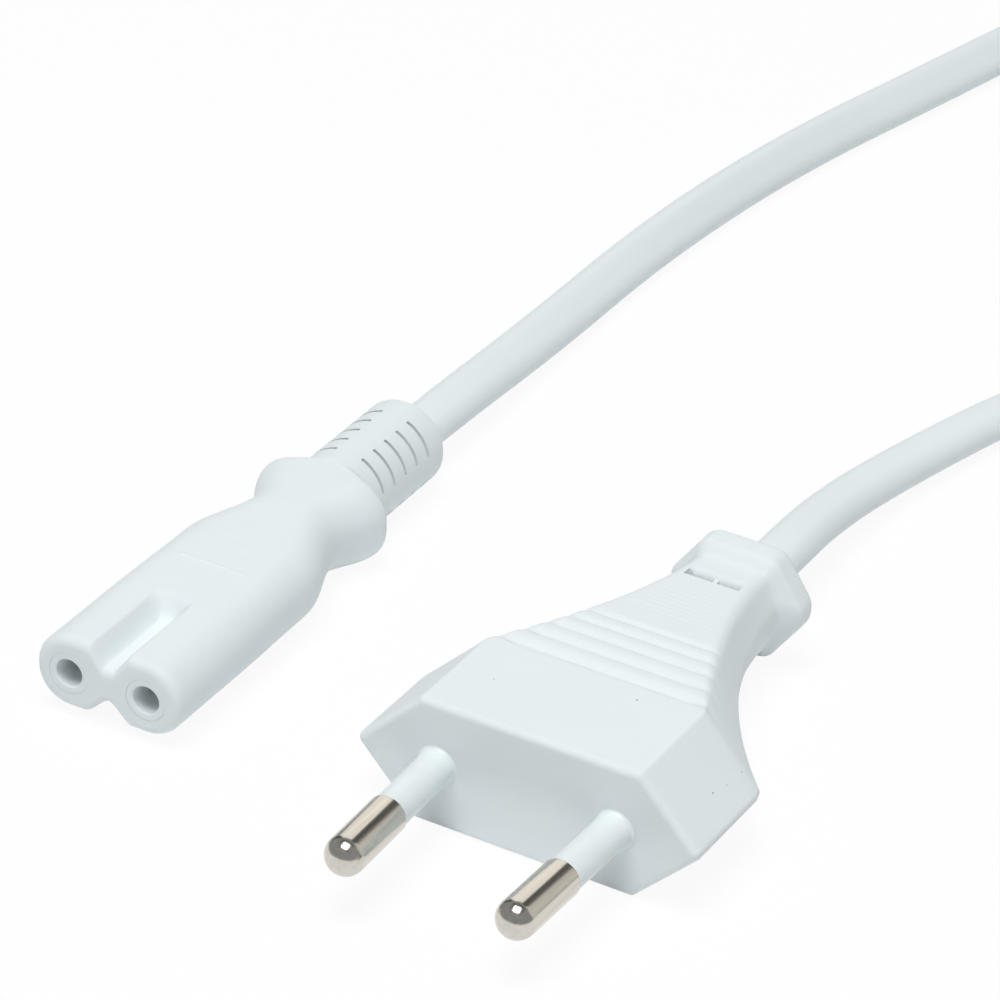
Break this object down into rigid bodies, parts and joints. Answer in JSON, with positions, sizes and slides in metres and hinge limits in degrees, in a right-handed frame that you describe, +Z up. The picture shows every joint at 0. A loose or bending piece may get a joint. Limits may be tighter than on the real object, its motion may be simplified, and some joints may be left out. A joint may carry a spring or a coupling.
{
  "type": "two-pin plug lead",
  "caption": "White moulded two-pin mains plug with a flat flexible cord, lying coiled, and a small figure-eight appliance connector on its far end.",
  "frame": {"origin": "under the middle of the plug with its pins, on the surface that it lies on", "axes": "+Z up, +Y from the pin tips to the cord exit, +X to the right seen from behind the plug"},
  "size_m": [0.1261, 0.2378, 0.0134],
  "materials": {
    "white_pvc": "soft satin moulding",
    "carrier_plastic": "hard satin moulding",
    "sleeve_plastic": "smooth, lightly glossy",
    "nickel": "bright nickel plating",
    "contact_brass": "bare rolled brass",
    "cord_sheath": "smooth extruded sheath",
    "core_brown": "smooth insulation",
    "core_blue": "smooth insulation",
    "copper": "bare stranded copper"
  },
  "bodies": {
    "root": {"plug_body": "white_pvc", "connector_body": "white_pvc", "pin_bridge": "carrier_plastic", "contact_carrier": "carrier_plastic", "sleeve_left": "sleeve_plastic", "sleeve_right": "sleeve_plastic", "pin_left": "nickel", "pin_right": "nickel", "contact_left": "contact_brass", "contact_right": "contact_brass", "cord_plug_run": "cord_sheath", "cord_coil": "cord_sheath", "cord_connector_run": "cord_sheath", "plug_core_left": "core_brown", "connector_core_left": "core_brown", "plug_core_right": "core_blue", "connector_core_right": "core_blue", "plug_strands_left": "copper", "plug_strands_right": "copper", "connector_strands_left": "copper", "connector_strands_right": "copper"}
  },
  "joints": []
}
